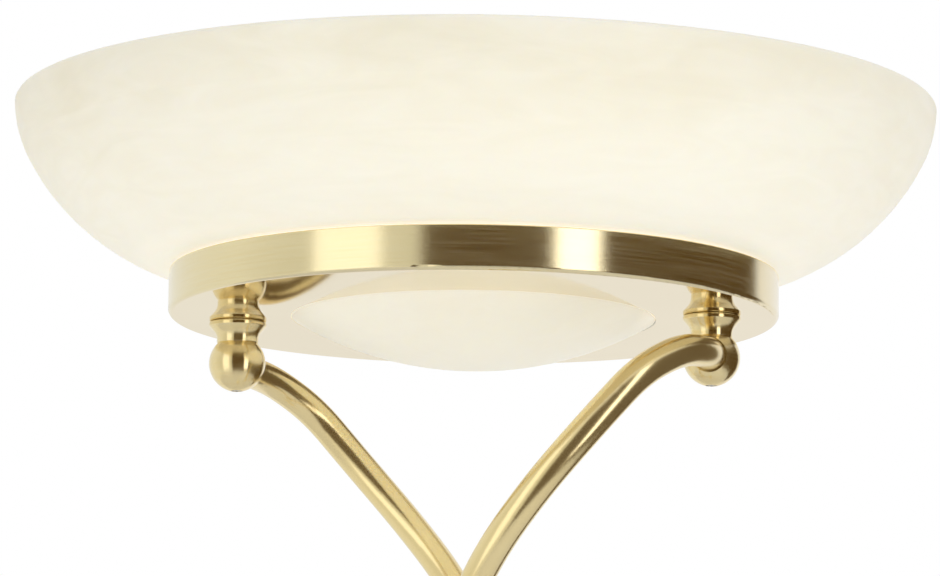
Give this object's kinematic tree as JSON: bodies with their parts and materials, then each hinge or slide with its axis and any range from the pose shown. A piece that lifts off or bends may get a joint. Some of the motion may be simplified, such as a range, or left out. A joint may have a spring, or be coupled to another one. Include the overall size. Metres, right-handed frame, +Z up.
{
  "type": "torchiere floor lamp",
  "caption": "Torchiere floor lamp: shallow alabaster glass bowl in a brass gallery ring on spiral brass arms, with a dimmer on the column and a weighted round base.",
  "frame": {"origin": "on the floor, on the axis of the column", "axes": "+Z up along the column; the ends of the arms lie along X; the dimmer knob faces -Y, the front"},
  "size_m": [0.407, 0.4069, 1.8],
  "materials": {
    "satin_brass": "brushed and lacquered, satin",
    "alabaster_glass": "cloudy white alabaster, glossy",
    "bulb_glass": "frosted",
    "plated_metal": "plated",
    "porcelain": "glazed white porcelain, opaque",
    "steel": "zinc plated",
    "cast_iron": "raw casting",
    "rubber": "matt",
    "dark_plastic": "moulded, matt",
    "lead_insulation": "extruded, white"
  },
  "bodies": {
    "lamp": {"base_cover": "satin_brass", "base_collar": "satin_brass", "lower_tube": "satin_brass", "column_coupler": "satin_brass", "middle_tube": "satin_brass", "dimmer_body": "satin_brass", "dimmer_cap": "satin_brass", "upper_tube": "satin_brass", "arm_hub": "satin_brass", "arm_right": "satin_brass", "arm_left": "satin_brass", "ball_right": "satin_brass", "ball_left": "satin_brass", "neck_right": "satin_brass", "neck_left": "satin_brass", "gallery_ring": "satin_brass", "glass_dome": "alabaster_glass", "bulb_globe_front": "bulb_glass", "bulb_globe_rear": "bulb_glass", "bulb_cap_front": "plated_metal", "bulb_cap_rear": "plated_metal", "lamp_holder_front": "porcelain", "lamp_holder_rear": "porcelain", "base_stud": "steel", "base_washer": "steel", "base_nut": "steel", "dimmer_nut": "steel", "ball_screws": "steel", "nipple_right": "steel", "nipple_left": "steel", "nipple_washers": "steel", "nipple_nuts": "steel", "lamp_bridge": "steel", "holder_bracket": "steel", "bracket_screw": "steel", "bracket_nut": "steel", "holder_screws": "steel", "base_weight": "cast_iron", "base_pad": "rubber", "bowl_gasket": "rubber", "dome_gasket": "rubber", "cord_bushing": "dark_plastic", "dimmer_module": "dark_plastic", "lamp_lead_right": "lead_insulation", "lamp_lead_left": "lead_insulation"},
    "bowl": {"glass_bowl": "alabaster_glass"},
    "knob": {"dimmer_knob": "satin_brass", "dimmer_shaft": "steel"}
  },
  "joints": [
    {"name": "dimmer_turn", "type": "hinge", "parent": "lamp", "child": "knob", "pos_m": [0, -0.025, 1.056], "axis": [0, 1, 0], "range_deg": [0, 270]},
    {"name": "bowl_lift", "type": "slide", "parent": "lamp", "child": "bowl", "axis": [0, 0, 1], "range_m": [0, 0.12]}
  ]
}
